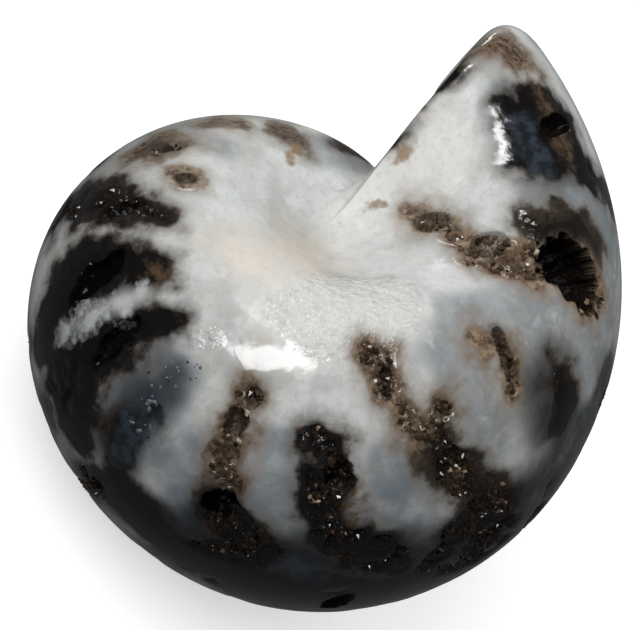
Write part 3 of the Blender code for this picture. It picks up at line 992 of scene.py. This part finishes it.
def smokyQuartz():
    # Smoky quartz druse, grown and never polished: flat glassy faces that flash white or go black; a few
    # crystals carry painted glints, a lighter tone
    material, tree = blankMaterial("smokyQuartzDruse")
    tone = addNode(tree, "Attribute", attribute_name="tone").outputs["Fac"]
    colour = addNode(tree, "ValToRGB", {"Fac": tone})
    ramp = colour.color_ramp.elements
    ramp[0].color, ramp[1].color = linear(druse["darkest"]), linear(druse["lightest"])
    for place, shade in druse["between"]:
        ramp.new(place).color = linear(shade)
    colour = colour.outputs["Color"]
    inputs = {"Base Color": colour, "Roughness": druse["roughness"], "IOR": quartzIndex}
    shader = addNode(tree, "BsdfPrincipled", inputs)
    addNode(tree, "OutputMaterial", {"Surface": shader.outputs[0]})
    return material


def paleFloor():
    # Matt white card, rolled smooth
    material, tree = blankMaterial("whiteCard")
    shader = addNode(tree, "BsdfPrincipled", {
        "Base Color": linear(studio["card"]), "Roughness": 0.9,
        "Emission Color": linear("#ffffff"), "Emission Strength": studio["cardGlow"],  # lit from below
    })
    addNode(tree, "OutputMaterial", {"Surface": shader.outputs[0]})
    return material


def onePoint():
    # a six-sided quartz point of unit size, standing on its base
    ball = bmesh.new()
    bmesh.ops.create_cone(ball, cap_ends=True, segments=6, radius1=1.0, radius2=druse["taper"],
                          depth=druse["shaft"], matrix=Matrix.Translation((0, 0, druse["shaft"] / 2)))
    top = max(ball.faces, key=lambda face: face.calc_center_median().z)
    tip = bmesh.ops.poke(ball, faces=[top])["verts"][0]
    tip.co.z = 1.0
    mesh = bpy.data.meshes.new("quartzPoint")
    ball.to_mesh(mesh)
    ball.free()
    return mesh


def makeDruse(shellThing, marks):
    draw = random.Random(druse["seed"])
    bare = smoothStep(marks["pit"] - druse["barePitMm"])
    bare = bare + smoothStep((marks["hole"] - druse["bareShade"]) / druse["bareFade"])
    grain = marks["grain"] * (1 - np.minimum(bare, 1))
    spots, weights = [], []
    # bmesh numbers the faces differently each run, so they are sorted by the places of their corners
    where = list(zip(marks["turn"], marks["crown"]))
    polygons = shellThing.data.polygons
    for face in sorted(polygons, key=lambda face: sorted(where[corner] for corner in face.vertices)):
        corners = list(face.vertices)
        share = float(np.mean(grain[corners]))
        if share > druse["leastGrain"]:
            patch = noise.noise(face.center * 1000 / druse["patchMm"])
            dark, hollow = (float(np.mean(marks[name][corners])) for name in ("black", "hollow"))
            spots.append((face, dark, hollow, patch))
            crowd = druse["betweenPatches"] + max(patch + druse["patchLevel"], 0)
            weights.append(face.area * share * crowd)
    point = onePoint()
    tone = point.attributes.new("tone", "FLOAT", "POINT")
    unit = np.array([vert.co for vert in point.vertices])
    gathered = bmesh.new()
    for spot in draw.choices(range(len(spots)), weights=weights, k=druse["count"]):
        face, dark, hollow, patch = spots[spot]
        stray = Vector([draw.uniform(-1, 1) for axis in range(3)]) * druse["lean"]
        axis = (face.normal + stray).normalized()
        if axis.dot(face.normal) < druse["leastRise"]:
            axis = (axis + face.normal).normalized()
        size = draw.random() ** druse["smallness"]
        spans = druse["radiusMm"], druse["lengthMm"]
        radius, length = ((low + (high - low) * size) / 1000 for low, high in spans)
        turned = axis.to_track_quat("Z", "Y").to_matrix() @ Matrix.Rotation(draw.uniform(0, math.pi), 3, "Z")
        scaled = np.array(turned @ Matrix.Diagonal((radius, radius, length)))
        free = min(length * druse["outShare"], (hollow + druse["overMm"]) / 1000)
        root = face.center - axis * (length - free)
        point.vertices.foreach_set("co", (unit @ scaled.T + np.array(root)).astype(np.float32).ravel())
        shade = druse["tone"] + druse["toneOfPatch"] * patch
        shade += draw.uniform(-druse["toneStray"], druse["toneStray"])
        shade *= 1 + druse["toneOfBlack"] * dark
        # a painted glint: a lighter tone for a few crystals
        shade += druse["paintedGlints"][1] if draw.random() < druse["paintedGlints"][0] else 0
        tone.data.foreach_set("value", np.full(len(unit), shade, dtype=np.float32))
        gathered.from_mesh(point)
    bmesh.ops.recalc_face_normals(gathered, faces=gathered.faces)
    bpy.data.meshes.remove(point)
    return addPiece("quartzDruse", gathered)


beads = dict(
    line=((0.500, 0.60), (0.490, 0.67), (0.489, 0.74), (0.493, 0.80), (0.497, 0.86)),
    count=34,
    strayMm=(0.56, 0.48),  # round the coil and over the crown
    mmPerTurn=120,
    mmPerCrown=40,
    radiusMm=(0.14, 0.44),
    flatness=0.6,
    sunk=0.5,  # as a share of the radius
    toneMm=0.9,
    dark="#2e353b",
    light="#737d84",
    roughness=0.05,
    seeThrough=0.25,
    seed=11,
)


def makeBeads(toWorld):
    # glassy beads of chalcedony that stand out of the blue stone beside one filling
    draw = random.Random(beads["seed"])
    ball = bmesh.new()
    line = beads["line"]
    for number in range(beads["count"]):
        place = draw.uniform(0, len(line) - 1.001)
        low, high = line[int(place)], line[int(place) + 1]
        share = place % 1.0
        turn = low[0] + (high[0] - low[0]) * share + draw.gauss(0, beads["strayMm"][0]) / beads["mmPerTurn"]
        crown = low[1] + (high[1] - low[1]) * share + draw.gauss(0, beads["strayMm"][1]) / beads["mmPerCrown"]
        found = directionsAt(turn, crown)
        spot, away = toWorld @ Vector(found[0]), toWorld.to_3x3() @ Vector(found[-1])
        radius = draw.uniform(*beads["radiusMm"]) / 1000
        flat = Matrix.Diagonal((1.0, draw.uniform(beads["flatness"], 1.0), beads["flatness"], 1.0))
        turned = away.to_track_quat("Z", "Y").to_matrix().to_4x4()
        turned = turned @ Matrix.Rotation(draw.uniform(0, math.pi), 4, "Z")
        matrix = Matrix.Translation(spot - away * radius * beads["sunk"]) @ turned @ flat
        bmesh.ops.create_icosphere(ball, subdivisions=2, radius=radius, matrix=matrix)
    thing = addPiece("chalcedonyBeads", ball)
    thing.data.shade_smooth()
    return thing


def glassyChalcedony():
    # Blue-grey chalcedony that grew as beads: wet and glassy, and lighter where it is thin
    material, tree = blankMaterial("glassyChalcedony")
    where = addNode(tree, "TexCoord").outputs["Object"]
    inputs = {"Vector": where, "Scale": perMm(beads["toneMm"]), "Detail": 1.0}
    shade = addNode(tree, "TexNoise", inputs).outputs["Fac"]
    inputs = {"Value": shade, "From Min": 0.40, "From Max": 0.62}
    amount = addNode(tree, "MapRange", inputs).outputs[0]
    inputs = {0: amount, 6: linear(beads["dark"]), 7: linear(beads["light"])}
    colour = addNode(tree, "Mix", inputs, data_type="RGBA").outputs[2]
    shader = addNode(tree, "BsdfPrincipled", {
        "Base Color": colour, "Roughness": beads["roughness"], "IOR": quartzIndex,
        "Transmission Weight": beads["seeThrough"],
    })
    addNode(tree, "OutputMaterial", {"Surface": shader.outputs[0]})
    return material


camera = dict(
    azimuth=0.79,  # degrees round the part from -Y
    elevation=32.57,
    roll=46.37,
    place=(-0.00362, -0.17197, 0.12597),
    picturePx=640,  # the picture's width
    focalPx=2100,
    aside=53.8,  # how far the part's axis lies from the middle of the picture, in px
    below=-9.8,
    sensorMm=36,
    clip=(0.01, 20),
)


def cameraAxes():
    a, e, r = (math.radians(camera[key]) for key in ("azimuth", "elevation", "roll"))
    toward = Vector((math.sin(a) * math.cos(e), -math.cos(a) * math.cos(e), math.sin(e)))
    level = Vector((math.cos(a), math.sin(a), 0))
    upright = toward.cross(level)
    right = level * math.cos(r) + upright * math.sin(r)
    return right, toward.cross(right), toward


def addCamera():
    right, up, toward = cameraAxes()
    forward = (-toward * camera["focalPx"] + right * camera["aside"] + up * camera["below"]).normalized()
    across = (right - forward * right.dot(forward)).normalized()
    upward = across.cross(forward)
    data = bpy.data.cameras.new("camera")
    data.sensor_width = camera["sensorMm"]
    data.lens = camera["focalPx"] * camera["sensorMm"] / camera["picturePx"]
    data.clip_start, data.clip_end = camera["clip"]
    thing = bpy.data.objects.new("camera", data)
    turned = Matrix((across, upward, -forward)).transposed().to_4x4()
    thing.matrix_world = Matrix.Translation(camera["place"]) @ turned
    bpy.context.scene.collection.objects.link(thing)
    bpy.context.scene.camera = thing


lights = dict(  # the soft ones light the stone, the others are only seen in its gloss
    key=dict(towards=(-0.34, -0.52, 0.78), distance=0.9, size=(0.8, 0.6), watts=7.8, along=(0, 1, 0),
             soft=True),
    fill=dict(towards=(0.2, 0.9, 0.5), distance=0.9, size=(0.8, 0.6), watts=4.0, along=(1, 0, 0),
              soft=True),
    window=dict(towards=(-0.23, -0.75, 0.62), distance=0.5, size=(0.23, 0.11), watts=0.9,
                along=(0.18, 0.23, 0.40), soft=False),
    strip=dict(towards=(-0.38, -0.34, 0.86), distance=0.5, size=(0.18, 0.045), watts=0.5,
               along=(-0.38, 0.05, -0.14), soft=False),
    back=dict(towards=(-0.66, 0.64, 0.36), distance=0.6, size=(0.22, 0.10), watts=0.5,
              along=(-0.28, -0.84, 0.25), soft=False),
)


studio = dict(
    middle=(0, 0, 0.022),  # what the lights point at
    sky="#f2f5f8",
    skyStrength=(0.06, 0.28),  # below and above a horizon this wide
    horizon=0.10,
    gloss=0.09,  # what the polish mirrors, dim so that the black stone stays black
    wall="#e6e6e6",
    card="#c8c8c8",
    cardGlow=0.58,
    cardSize=30.0,
)


def addLights():
    middle = Vector(studio["middle"])
    for name, light in lights.items():
        data = bpy.data.lights.new(name, "AREA")
        data.shape = "RECTANGLE"
        data.size, data.size_y = light["size"]
        data.energy = light["watts"]
        data.use_shadow = light["soft"]  # a gloss light is small, and its shadows would be hard
        towards = Vector(light["towards"]).normalized()
        along = Vector(light["along"])
        along = (along - towards * along.dot(towards)).normalized()
        thing = bpy.data.objects.new(name, data)
        thing.visible_glossy = not light["soft"]
        thing.visible_diffuse = light["soft"]
        turned = Matrix((along, towards.cross(along), towards)).transposed().to_4x4()
        thing.matrix_world = Matrix.Translation(middle + towards * light["distance"]) @ turned
        bpy.context.scene.collection.objects.link(thing)
    world = bpy.data.worlds.new("room")
    bpy.context.scene.world = world
    world.use_nodes = True
    tree = world.node_tree
    tree.nodes.clear()
    # pale above the floor and dim below it
    direction = addNode(tree, "TexCoord").outputs["Generated"]
    height = addNode(tree, "SeparateXYZ", {0: direction}).outputs["Z"]
    low, high = studio["skyStrength"]
    inputs = {"Value": height, "From Min": -studio["horizon"], "From Max": studio["horizon"]}
    inputs |= {"To Min": low, "To Max": high}
    strength = addNode(tree, "MapRange", inputs).outputs[0]
    sky = addNode(tree, "Background", {"Color": linear(studio["sky"]), "Strength": strength})
    wall = addNode(tree, "Background", {"Color": linear(studio["wall"]), "Strength": 1.0})
    dusk = addNode(tree, "Background", {"Color": linear(studio["sky"]), "Strength": studio["gloss"]})
    path = addNode(tree, "LightPath").outputs
    inputs = {0: path["Is Glossy Ray"], 1: sky.outputs[0], 2: dusk.outputs[0]}
    mirrored = addNode(tree, "MixShader", inputs)
    inputs = {0: path["Is Camera Ray"], 1: mirrored.outputs[0], 2: wall.outputs[0]}
    seen = addNode(tree, "MixShader", inputs)
    addNode(tree, "OutputWorld", {"Surface": seen.outputs[0]})


def addFloor():
    ball = bmesh.new()
    bmesh.ops.create_grid(ball, x_segments=1, y_segments=1, size=studio["cardSize"])
    thing = addPiece("floor", ball)
    thing.data.materials.append(paleFloor())
    thing.visible_diffuse = False
    thing.visible_glossy = False


shellThing, toWorld, marks = makeBody()
shellThing.data.materials.append(polishedChalcedony())
druseThing = makeDruse(shellThing, marks)
druseThing.data.materials.append(smokyQuartz())
beadsThing = makeBeads(toWorld)
beadsThing.data.materials.append(glassyChalcedony())
for piece in (shellThing, druseThing, beadsThing):
    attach(piece, "root")
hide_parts("ammonite")
addFloor()
addCamera()
addLights()
bpy.context.scene.view_settings.view_transform = "Standard"
print("studio: floor, camera and lights")
